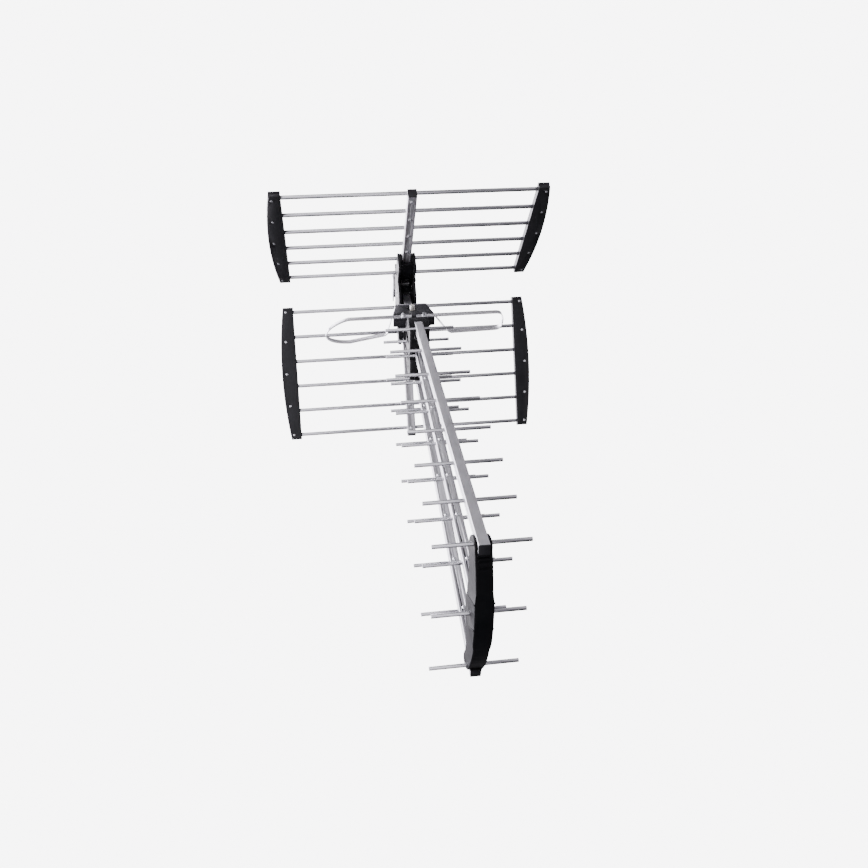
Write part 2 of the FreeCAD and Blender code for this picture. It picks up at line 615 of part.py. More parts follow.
# ---- reflector panels, built upright in a local frame ------------------------
# Local frame: the hinge rod on the X axis, +Z along the panel, +Y to the rear.
def panel_place(shape, side):
    placed = shape.copy()
    if side < 0:
        placed = placed.mirror(ORIGIN, Z_AXIS)
    placed.rotate(ORIGIN, X_AXIS, side * REFLECTOR_TILT)
    placed.translate(vec(0, REFLECTOR_Y, -REFLECTOR_DROP + side * HINGE_HALF))
    return placed


TUBE_Y = (-ROD_R - PANEL_TUBE, -ROD_R)    # the tube stands in front of the rods
TUBE_MID_Y = sum(TUBE_Y) / 2
ROD_S = [k * ROD_PITCH for k in range(ROD_COUNT)]
PANEL_SCREW_R = 1.9


def upright_tube(z_span):
    tube = square_tube(PANEL_TUBE / 2, BOOM_WALL, BOOM_CORNER, z_span)
    tube.rotate(ORIGIN, X_AXIS, 90)
    tube.translate(vec(0, TUBE_MID_Y, 0))
    return tube


def panel_tube():
    tube = upright_tube(PANEL_TUBE_S)
    start_y = TUBE_MID_Y - PANEL_TUBE
    tools = [pin(PANEL_SCREW_R + RUN_FIT, vec(0, start_y, s), Y_AXIS, 2 * PANEL_TUBE) for s in ROD_S[1:]]
    return cut(tube, tools)


def panel_tube_cap():
    cap = tube_end_cap(PANEL_TUBE, PANEL_CAP_LIP, PANEL_TUBE_S[1], 1)
    cap.rotate(ORIGIN, X_AXIS, 90)
    cap.translate(vec(0, TUBE_MID_Y, 0))
    return cap


def hinge_lug():
    """Plug in the tube's lower end with a lug that the hinge rod runs through."""
    inside = PANEL_TUBE / 2 - BOOM_WALL - 0.05
    plug = mid_block(inside, (TUBE_MID_Y - inside, TUBE_MID_Y + inside), (PANEL_TUBE_S[0], 22.0))
    half = PANEL_TUBE / 2
    foot = mid_block(half, (TUBE_Y[0] + 1, TUBE_Y[1] + 0.5), (PANEL_TUBE_S[0] - 3.0, PANEL_TUBE_S[0]))
    boss = cross_pin(ROD_R + 3.0, 0, 0, half)
    front_clear = mid_block(half + 1, (TUBE_Y[0], TUBE_Y[1] + 0.05), (PANEL_TUBE_S[0], 30))
    boss = boss.cut(front_clear)
    web = mid_block(half, (TUBE_Y[1] + 0.05, 2.0), (PANEL_TUBE_S[0] - 3.0, -3.0))
    lug = fuse([plug, foot, web, boss])
    return lug.cut(cross_pin(ROD_R + 0.02, 0, 0, 20))


def reflector_rod(index):
    rod = round_tube(ROD_R, ROD_WALL, ROD_HALF, 0, ROD_S[index])
    if index == 0:
        return rod
    return rod.cut(pin(PANEL_SCREW_R + RUN_FIT, vec(0, 0, ROD_S[index]), -Y_AXIS, ROD_R + 1))


def panel_screws():
    screws = []
    for s in ROD_S[1:]:
        screw = pan_screw(4.2, 2.6, PANEL_SCREW_R, PANEL_TUBE + ROD_R)
        screw.rotate(ORIGIN, X_AXIS, 90)
        screw.translate(vec(0, TUBE_Y[0], s))
        screws.append(screw)
    return screws


def cap_outline(inset):
    """Outline of a side cap: straight inner edge, bowed outer edge."""
    low, high = CAP_S[0] + inset, CAP_S[1] - inset
    middle = (low + high) / 2
    inner = CAP_INNER_X + inset
    end = CAP_END_X - inset * 0.9
    corners = [vec(inner, 0, low), vec(end, 0, low), vec(end, 0, high), vec(inner, 0, high)]
    arc = Part.Arc(corners[1], vec(CAP_MID_X - inset, 0, middle), corners[2]).toShape()
    lines = [Part.LineSegment(corners[a], corners[b]).toShape() for a, b in ((0, 1), (2, 3), (3, 0))]
    return Part.Face(Part.Wire([lines[0], arc, lines[1], lines[2]]))


def side_cap_shell(front):
    """Half of a right-hand side cap: front (-Y) or rear (+Y) of the rods' plane."""
    sign = -1 if front else 1
    shell = cap_outline(0).extrude(vec(0, sign * CAP_HALF_THICK, 0))
    face_edges = [e for e in shell.Edges if abs(e.BoundBox.YMin - sign * CAP_HALF_THICK) < 0.01
                  and abs(e.BoundBox.YMax - sign * CAP_HALF_THICK) < 0.01]
    shell = shell.makeFillet(1.4, face_edges)
    depth = CAP_HALF_THICK - CAP_WALL
    shell = shell.cut(cap_outline(CAP_WALL).extrude(vec(0, sign * depth, 0)))
    pieces = [shell]
    y_span = sorted((0, sign * (depth + 0.3)))
    for s in ROD_S:
        pieces.append(block((CAP_INNER_X + 0.5, ROD_HALF + 2), y_span, (s - 6, s + 6)))
    for x, s in CAP_SCREWS:
        pieces.append(pin(3.2, vec(x, 0, s), vec(0, sign, 0), depth + 0.3))
    shell = fuse(pieces)
    reach = ROD_HALF - CAP_INNER_X + 5.2
    tools = [pin(ROD_R + 0.02, vec(CAP_INNER_X - 5, 0, s), X_AXIS, reach) for s in ROD_S]
    for x, s in CAP_SCREWS:
        tools.append(pin(1.4 + RUN_FIT, vec(x, 0, s), vec(0, sign, 0), 20 if front else 4.5))
    return cut(shell, tools)


def cap_screws():
    screws = []
    for x, s in CAP_SCREWS:
        for side in (1, -1):
            screw = pan_screw(2.6, 1.5, 1.4, CAP_HALF_THICK + 4.0)
            screw.rotate(ORIGIN, X_AXIS, 90)
            screw.translate(vec(side * x, -CAP_HALF_THICK, s))
            screws.append(screw)
    return screws


def build_panels():
    for name, side in (("upper", 1), ("lower", -1)):
        save(name + "_panel_tube", panel_place(panel_tube(), side))
        save(name + "_panel_cap", panel_place(panel_tube_cap(), side))
        save(name + "_hinge_lug", panel_place(hinge_lug(), side))
        save_group(name + "_panel_screws", [panel_place(s, side) for s in panel_screws()])
        save(name + "_hinge_rod", panel_place(reflector_rod(0), side))
        rods = [panel_place(reflector_rod(k), side) for k in range(1, ROD_COUNT)]
        save_group(name + "_reflector_rods", rods)
        for half, front in (("front", True), ("rear", False)):
            shell = side_cap_shell(front)
            save("%s_right_cap_%s" % (name, half), panel_place(shell, side))
            save("%s_left_cap_%s" % (name, half), panel_place(mirrored(shell), side))
        save_group(name + "_cap_screws", [panel_place(s, side) for s in cap_screws()])


# ---- reflector hub ----------------------------------------------------------
HUB_HALF = 19.0
HUB_INNER = 14.0
HUB_CORE_Y = (-136.0, -74.0)
HUB_TAIL_HALF = 19.4      # the tail fills the mast bracket's channel
HUB_TAIL_Y = (-78.0, -39.5)
HUB_BOLT_R = 2.5
HUB_BOLT_YS = (-122.0, -98.0)
HUB_BOLT_SINK = 3.4       # heads and nuts lie flush in the hub's sides
HINGE_SLOT = PANEL_TUBE / 2 + SLIDE_GAP
SWING_R = 24.8
WEB_S = (16.0, 73.0)
WEB_DEPTH = (-28.5, -25.2)      # local Y, in front of the panel tube


def arm_profile():
    """Side outline of a hub arm in the panel's local frame, as (y, s) points."""
    return [(9.0, -10.0), (9.0, 10.0), (2.0, 14.0), (-4.6, 16.0), (-4.6, 81.0),
            (-9.0, 83.5), (-30.0, 84.0), (-44.0, 84.5), (-46.0, 76.0), (-41.0, 54.0),
            (-43.0, 32.0), (-40.0, 0.0), (-20.0, -24.0)]


def body_profile():
    """Side outline of the hub's middle, as (y, z) from the reflector's centre."""
    front, rear = -166.0, -75.0
    upper = [(front, 12.0), (front, 27.0), (-153.0, 40.0), (-136.0, 49.0), (-100.0, 53.0),
             (rear, 47.0), (rear, 0.0)]
    lower = [(y, -z) for y, z in reversed(upper)]
    return upper + lower


def hub_plate(x_span):
    plates = [side_profile([(y, z - REFLECTOR_DROP) for y, z in body_profile()], x_span)]
    for side in (1, -1):
        plates.append(panel_place(side_profile(arm_profile(), x_span), side))
    return fuse(plates)


def arm_lining(x_span):
    """Thicker wall beside the panel tube that carries the hinge rod."""
    outline = [(9.0, -10.0), (9.0, 10.0), (-4.6, 16.0), (-4.6, 80.0), (-25.0, 80.0), (-25.0, -20.0)]
    return side_profile(outline, x_span)


def hub_core():
    """Middle of the hub round the main boom, its tail, and the webs that stop the panels."""
    seat = BOOM / 2 + 0.1
    low = -REFLECTOR_DROP - HINGE_HALF + SWING_R + 1
    core = [mid_block(HUB_INNER + 1, HUB_CORE_Y, (low, -seat)),
            mid_block(HUB_INNER + 1, HUB_CORE_Y, (seat, 13.0)),
            mid_block(HUB_TAIL_HALF, HUB_TAIL_Y, (-12, 12))]
    for x_span in ((seat, HUB_INNER + 1), (-HUB_INNER - 1, -seat)):
        core.append(block(x_span, HUB_CORE_Y, (low, 13.0)))
    for side in (1, -1):
        web = mid_block(HUB_INNER + 1, WEB_DEPTH, WEB_S)
        core.append(panel_place(web, side))
        for x_span in ((5.4, HINGE_SLOT + 1), (-HINGE_SLOT - 1, -5.4)):
            rib = block(x_span, (WEB_DEPTH[1] - 0.5, TUBE_Y[0] - 0.3), (WEB_S[0] + 10, WEB_S[1]))
            core.append(panel_place(rib, side))
    return core


def reflector_hub():
    pieces = [hub_plate((HUB_INNER, HUB_HALF)), hub_plate((-HUB_HALF, -HUB_INNER))]
    for x_span in ((HINGE_SLOT, HUB_INNER + 0.5), (-HUB_INNER - 0.5, -HINGE_SLOT)):
        for side in (1, -1):
            pieces.append(panel_place(arm_lining(x_span), side))
    hub = fuse(pieces + hub_core())
    seat = BOOM / 2 + 0.1
    tools = [mid_block(seat, (-170, -30), (-seat, seat))]
    for side in (1, -1):
        swing = cross_pin(SWING_R, 0, 0, HINGE_SLOT)
        tools.append(panel_place(swing, side))
        behind = mid_block(HINGE_SLOT, (TUBE_Y[0] - 0.3, 60), (0, 120))
        tools.append(panel_place(behind, side))
        tools.append(panel_place(cross_pin(ROD_R + RUN_FIT, 0, 0, 30), side))
        rod_room = mid_block(30, (-ROD_R - 0.5, 30), (ROD_PITCH - 22, 120))
        tools.append(panel_place(rod_room, side))
        for y in HUB_BOLT_YS:
            tools.append(pin(5.4, vec(side * (HUB_HALF - HUB_BOLT_SINK), y, 0), X_AXIS * side, 10))
    tools += [cross_pin(HUB_BOLT_R + RUN_FIT, y, 0, 30) for y in HUB_BOLT_YS]
    tools.append(cross_pin(TILT_BOLT_R + RUN_FIT, TILT_PIVOT_Y, 0, 30))
    return cut(hub, tools)


def hub_bolt(y):
    head = hex_prism(8.0, vec(-HUB_HALF, y, 0), X_AXIS, HUB_BOLT_SINK)
    shank = pin(HUB_BOLT_R, vec(-HUB_HALF + 0.5, y, 0), X_AXIS, 2 * HUB_HALF - 0.5)
    return fuse([head, shank])


def hub_nut(y):
    start = vec(HUB_HALF - HUB_BOLT_SINK, y, 0)
    return hex_prism(8.0, start, X_AXIS, HUB_BOLT_SINK).cut(cross_pin(HUB_BOLT_R, y, 0, 40))


# ---- mast clamp ---------------------------------------------------------------
# A pressed steel channel, open to the front, takes the hub's tail; the saddle
# and the U-bolt on its back grip the mast.
CHANNEL_HALF = 22.0
CHANNEL_WALL = 2.2
PLATE_Y = (-27.0, -24.0)
CHANNEL_Z = (-55.0, 0.0)
FLANGE_TOP = 12.0         # the flanges rise to the front, over the tilt bolt
NECK_HALF = 12.5          # the plate and the saddle are narrower above the U-bolt
SADDLE_HALF = 16.3
U_BOLT_Z = -13.0
LEG_X = MAST_R + U_BOLT_R + 0.2


def clamp_bracket():
    top = SADDLE_LENGTH / 2
    pieces = [mid_block(CHANNEL_HALF, PLATE_Y, CHANNEL_Z),
              mid_block(NECK_HALF, PLATE_Y, (CHANNEL_Z[1] - 1, top))]
    flange = [(PLATE_Y[0] + 0.5, CHANNEL_Z[1]), (-54.0, FLANGE_TOP), (-62.0, 5.0), (-62.0, -10.0),
              (-54.0, -30.0), (-46.0, CHANNEL_Z[0]), (PLATE_Y[0] + 0.5, CHANNEL_Z[0])]
    inner = CHANNEL_HALF - CHANNEL_WALL
    for x_span in ((inner, CHANNEL_HALF), (-CHANNEL_HALF, -inner)):
        pieces.append(side_profile(flange, x_span))
    channel = fuse(pieces)
    folds = [e for e in channel.Edges if abs(e.tangentAt(e.FirstParameter).z) > 0.9
             and abs(e.BoundBox.YMin - PLATE_Y[1]) < 0.01 and abs(e.BoundBox.XMin) > NECK_HALF + 1]
    channel = channel.makeFillet(2.4, folds)
    tools = [cross_pin(TILT_BOLT_R + 0.02, TILT_PIVOT_Y, 0, 30)]
    tools += [pin(U_BOLT_R + 0.2, vec(x, PLATE_Y[0] - 1, U_BOLT_Z), Y_AXIS, 6) for x in (LEG_X, -LEG_X)]
    tools.append(pin(3.3, vec(0, PLATE_Y[0] - 1, -42), Y_AXIS, 6))
    return cut(channel, tools)


def mast_saddle():
    edge_y = -MAST_R * math.cos(math.radians(SEAT_HALF_ANGLE))
    half_z = SADDLE_LENGTH / 2
    body = mid_block(SADDLE_HALF, (PLATE_Y[1], edge_y), (-half_z, half_z))
    tools = [pin(MAST_R, vec(0, 0, -half_z - 1), Z_AXIS, SADDLE_LENGTH + 2)]
    for x in (LEG_X, -LEG_X):
        tools.append(pin(U_BOLT_R + 0.2, vec(x, PLATE_Y[1] - 1, U_BOLT_Z), Y_AXIS, 30))
    for x_span in ((9, 30), (-30, -9)):
        tools.append(block(x_span, (PLATE_Y[1] + 3, edge_y - 4), (3, half_z - 3)))
    for x_span in ((NECK_HALF, 30), (-30, -NECK_HALF)):
        tools.append(block(x_span, (PLATE_Y[1] - 1, edge_y + 1), (U_BOLT_Z + 9, half_z + 1)))
    return cut(body, tools)


def u_bolt():
    legs_end = -35.5
    path_points = [vec(x, y, U_BOLT_Z) for x, y in ((LEG_X, legs_end), (LEG_X, 0), (0, LEG_X),
                                                    (-LEG_X, 0), (-LEG_X, legs_end))]
    right_end, right, back, left, left_end = path_points
    half_turn = Part.Arc(right, back, left).toShape()
    leg_in = Part.LineSegment(right_end, right).toShape()
    leg_out = Part.LineSegment(left, left_end).toShape()
    path = Part.Wire([leg_in, half_turn, leg_out])
    ring = Part.Wire(Part.makeCircle(U_BOLT_R, right_end, Y_AXIS))
    return path.makePipeShell([ring], True, True)


def u_bolt_nut(x):
    height = 4.0
    front = PLATE_Y[0] - height
    body = hex_prism(8.0, vec(x, front, U_BOLT_Z), Y_AXIS, height)
    body.rotate(vec(x, front, U_BOLT_Z), Y_AXIS, 30)
    return body.cut(pin(U_BOLT_R, vec(x, front - 5, U_BOLT_Z), Y_AXIS, 20))


BOLT_END_X = 31.0
WASHER = (8.0, 1.4)       # radius and thickness


def tilt_bolt():
    """Carriage bolt: low domed head on the left, thread end on the right."""
    face = -CHANNEL_HALF
    dome = Part.makeSphere(16.0, vec(face + 16.0 - 2.2, TILT_PIVOT_Y, 0))
    dome = dome.common(block((face - 10, face), (TILT_PIVOT_Y - 20, TILT_PIVOT_Y + 20), (-20, 20)))
    shank = pin(TILT_BOLT_R, vec(face - 1, TILT_PIVOT_Y, 0), X_AXIS, BOLT_END_X - face + 1)
    shank = shank.makeChamfer(0.8, [e for e in shank.Edges if abs(e.BoundBox.XMin - BOLT_END_X) < 0.01])
    return fuse([dome, shank])


def tilt_washer():
    ring = pin(WASHER[0], vec(CHANNEL_HALF, TILT_PIVOT_Y, 0), X_AXIS, WASHER[1])
    return ring.cut(cross_pin(TILT_BOLT_R + 0.02, TILT_PIVOT_Y, 0, 40))


def wing_nut():
    """Wing nut on the tilt bolt, its wings upright."""
    start = CHANNEL_HALF + WASHER[1] + 0.3
    hub = Part.makeCone(6.4, 5.3, 6.0, vec(start, TILT_PIVOT_Y, 0), X_AXIS)
    wing_shape = [(3.0, 0.8), (9.5, 1.8), (13.4, 3.2), (14.0, 6.2), (11.6, 7.2), (8.2, 5.8), (3.0, 5.2)]
    wings = []
    for side in (1, -1):
        wire = [vec(start + along, TILT_PIVOT_Y - 1.2, side * out) for out, along in wing_shape]
        wings.append(Part.Face(Part.makePolygon(wire + wire[:1])).extrude(vec(0, 2.4, 0)))
    return fuse([hub] + wings).cut(cross_pin(TILT_BOLT_R + RUN_FIT, TILT_PIVOT_Y, 0, 60))


# ---- build ------------------------------------------------------------------
os.makedirs("parts", exist_ok=True)
build_booms()
save("main_boom_plug", main_boom_plug())
save("front_bow", front_bow())
save("boom_bracket", boom_bracket())
save("clamp_knob", clamp_knob())
save("dipole_housing", dipole_housing())
save("dipole_cover", dipole_cover())
save("balun_board", balun_board())
save("f_connector", f_connector())
save("connector_insulator", connector_insulator())
save_group("terminal_screws", [terminal_screw(x) for x in (-TERMINAL_X, TERMINAL_X)])
save("dipole_loop", dipole_loop())
build_panels()
save("reflector_hub", reflector_hub())
save_group("hub_bolts", [hub_bolt(y) for y in HUB_BOLT_YS])
save_group("hub_nuts", [hub_nut(y) for y in HUB_BOLT_YS])
save("clamp_bracket", clamp_bracket())
save("mast_saddle", mast_saddle())
save("u_bolt", u_bolt())
save_group("u_bolt_nuts", [u_bolt_nut(x) for x in (-LEG_X, LEG_X)])
save("tilt_bolt", tilt_bolt())
save("tilt_washer", tilt_washer())
save("tilt_wing_nut", wing_nut())
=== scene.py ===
import json
import math

import bmesh
import bpy
from mathutils import Matrix, Vector


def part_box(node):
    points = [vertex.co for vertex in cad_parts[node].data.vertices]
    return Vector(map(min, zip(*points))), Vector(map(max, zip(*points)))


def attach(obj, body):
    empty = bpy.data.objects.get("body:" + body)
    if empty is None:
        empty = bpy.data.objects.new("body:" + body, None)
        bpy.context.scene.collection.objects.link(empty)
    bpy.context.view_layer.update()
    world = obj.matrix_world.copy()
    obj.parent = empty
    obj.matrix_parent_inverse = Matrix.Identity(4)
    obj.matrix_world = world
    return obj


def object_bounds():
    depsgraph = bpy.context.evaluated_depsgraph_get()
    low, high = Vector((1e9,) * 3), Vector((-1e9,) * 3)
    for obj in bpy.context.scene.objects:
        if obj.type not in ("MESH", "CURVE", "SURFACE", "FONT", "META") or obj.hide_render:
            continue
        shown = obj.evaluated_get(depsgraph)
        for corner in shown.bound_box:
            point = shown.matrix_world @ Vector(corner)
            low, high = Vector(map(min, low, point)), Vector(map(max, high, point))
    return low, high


# Looks for a three-boom UHF yagi antenna. Metres, in the CAD's frame: +Z up,
# +Y to the rear, +X to the right seen from the front tip.

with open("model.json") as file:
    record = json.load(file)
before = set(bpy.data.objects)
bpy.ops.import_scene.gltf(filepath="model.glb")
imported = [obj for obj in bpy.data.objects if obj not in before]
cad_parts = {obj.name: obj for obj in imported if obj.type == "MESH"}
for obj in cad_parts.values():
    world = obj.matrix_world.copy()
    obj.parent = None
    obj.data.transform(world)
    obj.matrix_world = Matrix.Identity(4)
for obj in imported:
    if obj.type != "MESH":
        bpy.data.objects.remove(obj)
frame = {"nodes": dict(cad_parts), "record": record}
cad_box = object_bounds()
NODES = frame["nodes"]

MM = 0.001


def shade(colour, factor):
    """A colour made darker or lighter."""
    return tuple(min(1.0, c * factor) for c in colour)


# ---- node helpers ------------------------------------------------------------
NOISE_LOW, NOISE_HIGH = 0.3, 0.7      # a noise texture's values mostly lie between these


class Nodes:
    """Small wrapper that adds and links shader nodes."""

    def __init__(self, name):
        self.material = bpy.data.materials.new(name)
        self.material.use_nodes = True
        self.tree = self.material.node_tree
        self.tree.nodes.clear()
        output = self.add("ShaderNodeOutputMaterial")
        self.shader = self.add("ShaderNodeBsdfPrincipled")
        self.link(self.shader, "BSDF", output, "Surface")
        self.place = self.add("ShaderNodeTexCoord")

    def add(self, kind, **values):
        """Adds a node, and sets its properties or the inputs that have these names."""
        node = self.tree.nodes.new(kind)
        for key, value in values.items():
            if hasattr(node, key):
                setattr(node, key, value)
            else:
                node.inputs[key].default_value = value
        return node

    def link(self, a, a_name, b, b_name):
        self.tree.links.new(a.outputs[a_name], b.inputs[b_name])

    def mapped(self, scale, turn):
        """Object coordinates, turned (degrees) and scaled per axis."""
        node = self.add("ShaderNodeMapping", Scale=scale)
        node.inputs["Rotation"].default_value = [math.radians(a) for a in turn]
        self.link(self.place, "Object", node, "Vector")
        return node

    def noise(self, scale, detail=3.0, roughness=0.55, at=None):
        """Noise texture in object coordinates, or in those of a mapping node."""
        node = self.add("ShaderNodeTexNoise", Scale=scale, Detail=detail, Roughness=roughness)
        if at is None:
            self.link(self.place, "Object", node, "Vector")
        else:
            self.link(at, "Vector", node, "Vector")
        return node

    def ramp(self, noise, low, high):
        """Colour ramp between two RGB colours, driven by a noise texture."""
        node = self.add("ShaderNodeValToRGB")
        first, last = node.color_ramp.elements
        first.position, last.position = NOISE_LOW, NOISE_HIGH
        first.color, last.color = (*low, 1), (*high, 1)
        self.link(noise, "Fac", node, "Fac")
        return node

    def span(self, noise, low, high):
        """A noise texture's value, mapped to low..high."""
        node = self.add("ShaderNodeMapRange")
        node.inputs["From Min"].default_value = NOISE_LOW
        node.inputs["From Max"].default_value = NOISE_HIGH
        node.inputs["To Min"].default_value = low
        node.inputs["To Max"].default_value = high
        self.link(noise, "Fac", node, "Value")
        return node

    def total(self, first, second):
        """Sum of two spans."""
        node = self.add("ShaderNodeMath", operation="ADD")
        self.link(first, "Result", node, 0)
        self.link(second, "Result", node, 1)
        return node

    def bump(self, noise, distance, strength, after=None):
        """Bump from a noise texture, on top of another bump if one is given."""
        node = self.add("ShaderNodeBump", Distance=distance, Strength=strength)
        self.link(noise, "Fac", node, "Height")
        if after is not None:
            self.link(after, "Normal", node, "Normal")
        return node


# ---- materials -----------------------------------------------------------------
# Noise scales are per metre and bump depths are in metres.
STREAK_SHARE = 0.22           # scale of the broad streaks against that of the fine lines
STREAK_SHADE = 0.92
HANDLED_SCALE = 38.0          # patches where the metal was handled
HANDLED_ROUGHNESS = (-0.05, 0.07)
LINE_DEPTH = 0.00004
DENT_SCALE, DENT_DEPTH, DENT_STRENGTH = 420.0, 0.00001, 0.4

PLATING_SCALE, PLATING_DEPTH, PLATING_STRENGTH = 900.0, 0.00001, 0.35
PLATING_DULLNESS = (0.7, 1.3)     # lowest and highest, against the mean roughness

FLOW_SCALE = 22.0             # flow marks of the moulded plastic
FLOW_SHADES = (0.75, 1.4)
FLOW_ROUGHNESS = 0.05
SCUFF_SCALE = 130.0
SCUFF_ROUGHNESS = (-0.03, 0.05)
GRIT_STRENGTH = 0.6
SINK_SCALE, SINK_DEPTH, SINK_STRENGTH = 60.0, 0.0002, 0.12


def drawn_metal(name, colour, roughness, grain, turn=(0, 0, 0), spread=0.08, relief=0.5):
    """Aluminium with fine lines along the profile; grain is the texture's scale per axis."""
    n = Nodes(name)
    lines = n.noise(1.0, detail=4.0, roughness=0.6, at=n.mapped(grain, turn))
    broad = [g * STREAK_SHARE for g in grain]
    streaks = n.noise(1.0, detail=2.0, roughness=0.5, at=n.mapped(broad, turn))
    tint = n.ramp(streaks, shade(colour, STREAK_SHADE), colour)
    n.link(tint, "Color", n.shader, "Base Color")
    n.shader.inputs["Metallic"].default_value = 1.0
    handled = n.noise(HANDLED_SCALE, detail=4.0, roughness=0.65)
    polish = n.total(n.span(lines, roughness - spread, roughness + spread),
                     n.span(handled, *HANDLED_ROUGHNESS))
    n.link(polish, "Value", n.shader, "Roughness")
    fine = n.bump(lines, LINE_DEPTH, relief)
    dents = n.bump(n.noise(DENT_SCALE, detail=2.0), DENT_DEPTH, DENT_STRENGTH, after=fine)
    n.link(dents, "Normal", n.shader, "Normal")
    return n.material


def plated(name, colour, roughness, tint_scale=220.0, tint=0.88):
    """Zinc or nickel plating: bright, with a faint uneven film."""
    n = Nodes(name)
    film = n.noise(tint_scale)
    n.link(n.ramp(film, shade(colour, tint), colour), "Color", n.shader, "Base Color")
    n.shader.inputs["Metallic"].default_value = 1.0
    polish = n.span(film, *[roughness * share for share in PLATING_DULLNESS])
    n.link(polish, "Result", n.shader, "Roughness")
    grain = n.bump(n.noise(PLATING_SCALE, detail=2.0), PLATING_DEPTH, PLATING_STRENGTH)
    n.link(grain, "Normal", n.shader, "Normal")
    return n.material


def moulding(name, colour, roughness, grit=2600.0, depth=0.00003, gloss=0.3):
    """Moulded plastic: spark-eroded texture, soft flow marks and slight sink marks."""
    n = Nodes(name)
    flow = n.noise(FLOW_SCALE, detail=4.0, roughness=0.6)
    tint = n.ramp(flow, *[shade(colour, factor) for factor in FLOW_SHADES])
    n.link(tint, "Color", n.shader, "Base Color")
    n.shader.inputs["Specular IOR Level"].default_value = gloss
    scuffs = n.noise(SCUFF_SCALE, detail=5.0, roughness=0.7)
    polish = n.total(n.span(flow, roughness - FLOW_ROUGHNESS, roughness + FLOW_ROUGHNESS),
                     n.span(scuffs, *SCUFF_ROUGHNESS))
    n.link(polish, "Value", n.shader, "Roughness")
    texture = n.bump(n.noise(grit, detail=2.0), depth, GRIT_STRENGTH)
    sink = n.bump(n.noise(SINK_SCALE, detail=2.0), SINK_DEPTH, SINK_STRENGTH, after=texture)
    n.link(sink, "Normal", n.shader, "Normal")
    return n.material


SLOT_COLOURS = {m["slot"]: tuple(m["base_color"][:3]) for m in frame["record"]["materials"]}
ALONG_X = (9.0, 900.0, 900.0)     # grain of the metal: coarse along its profile, fine across it
ALONG_Y = (900.0, 9.0, 900.0)
ALONG_Z = (900.0, 900.0, 9.0)
SIDE_BOOM_SLOPE = 5.55            # degrees
PANEL_TILT = 30.8                 # degrees
BLACK = SLOT_COLOURS["black_moulding"]
BLACK_CAP = SLOT_COLOURS["black_cap"]
TUBE = shade(SLOT_COLOURS["boom_aluminium"], 0.85)
TUBE_ROUGHNESS = 0.44
ROD = SLOT_COLOURS["rod_aluminium"]
STRIP = shade(SLOT_COLOURS["strip_aluminium"], 1.2)


def tube_metal(name, grain, slope=0):
    """Metal of a square tube, with the grain along a tube that slopes about X."""
    return drawn_metal(name, TUBE, TUBE_ROUGHNESS, grain, (slope, 0, 0))


MATERIALS = {
    "main_tube": tube_metal("main_tube", ALONG_Y),
    "upper_tube": tube_metal("upper_tube", ALONG_Y, SIDE_BOOM_SLOPE),
    "lower_tube": tube_metal("lower_tube", ALONG_Y, -SIDE_BOOM_SLOPE),
    "upper_panel_tube": tube_metal("upper_panel_tube", ALONG_Z, -PANEL_TILT),
    "lower_panel_tube": tube_metal("lower_panel_tube", ALONG_Z, PANEL_TILT),
    "rod": drawn_metal("rod", ROD, 0.2, ALONG_X, spread=0.04, relief=0.15),
    "strip": drawn_metal("strip", STRIP, 0.32, ALONG_X, spread=0.06),
    "moulding": moulding("moulding", shade(BLACK, 0.6), 0.42, gloss=0.14),
    # The front bow's darker black is painted shade.
    "bow_moulding_painted_shade": moulding("bow_moulding_painted_shade", shade(BLACK, 0.35), 0.45, gloss=0.05),
    # The dipole box's lighter black is painted light; its roughness and gloss are its own.
    "box_moulding_painted_light": moulding("box_moulding_painted_light", shade(BLACK, 1.4), 0.5, gloss=0.24),
    "smooth_moulding": moulding("smooth_moulding", BLACK_CAP, 0.4, 1500.0, 0.00001, gloss=0.28),
    "zinc": plated("zinc", SLOT_COLOURS["zinc_steel"], 0.22),
    "galvanised": plated("galvanised", SLOT_COLOURS["bracket_steel"], 0.38, 90.0, 0.8),
    "nickel": plated("nickel", SLOT_COLOURS["nickel"], 0.16),
    "board": moulding("board", SLOT_COLOURS["board"], 0.3, gloss=0.5),
    "insulator": moulding("insulator", SLOT_COLOURS["white_insulator"], 0.4, gloss=0.5),
}
SLOT_MATERIAL = {
    "boom_aluminium": "main_tube", "rod_aluminium": "rod", "strip_aluminium": "strip",
    "black_moulding": "moulding", "black_cap": "smooth_moulding", "zinc_steel": "zinc",
    "bracket_steel": "galvanised", "nickel": "nickel", "board": "board",
    "white_insulator": "insulator",
}
# Nodes whose look differs from the rest of their slot. The dipole box's lighter black is painted
# light and the front bow's darker black is painted shade.
NODE_MATERIAL = {
    "upper_boom": "upper_tube", "lower_boom": "lower_tube",
    "upper_panel_tube": "upper_panel_tube", "lower_panel_tube": "lower_panel_tube",
    "dipole_housing": "box_moulding_painted_light", "dipole_cover": "box_moulding_painted_light",
    "front_bow": "bow_moulding_painted_shade",
}

EDGE_WIDTH = {"black_moulding": 0.5 * MM, "black_cap": 0.45 * MM}
METAL_EDGE_WIDTH = 0.25 * MM
SHARP_ANGLE = 28.0                # degrees; flatter edges than this stay as they are
WELD_DISTANCE = 0.000002


def soften(node, width):
    """Rounds a CAD node's sharp edges a little, so that they catch light as real edges do."""
    weld = node.modifiers.new("weld", "WELD")
    weld.merge_threshold = WELD_DISTANCE
    bevel = node.modifiers.new("edge", "BEVEL")
    bevel.width = width
    bevel.segments = 2
    bevel.limit_method = "ANGLE"
    bevel.angle_limit = math.radians(SHARP_ANGLE)
    bevel.use_clamp_overlap = True
    bevel.harden_normals = True
    for face in node.data.polygons:
        face.use_smooth = True


def dress_cad_nodes():
    """Gives every CAD node its material and its soft edges."""
    for part in frame["record"]["subparts"]:
        node = NODES[part["node"]]
        slot = part["material_slot"]
        material = MATERIALS[NODE_MATERIAL.get(part["node"], SLOT_MATERIAL[slot])]
        node.data.materials.clear()
        node.data.materials.append(material)
        soften(node, EDGE_WIDTH.get(slot, METAL_EDGE_WIDTH))


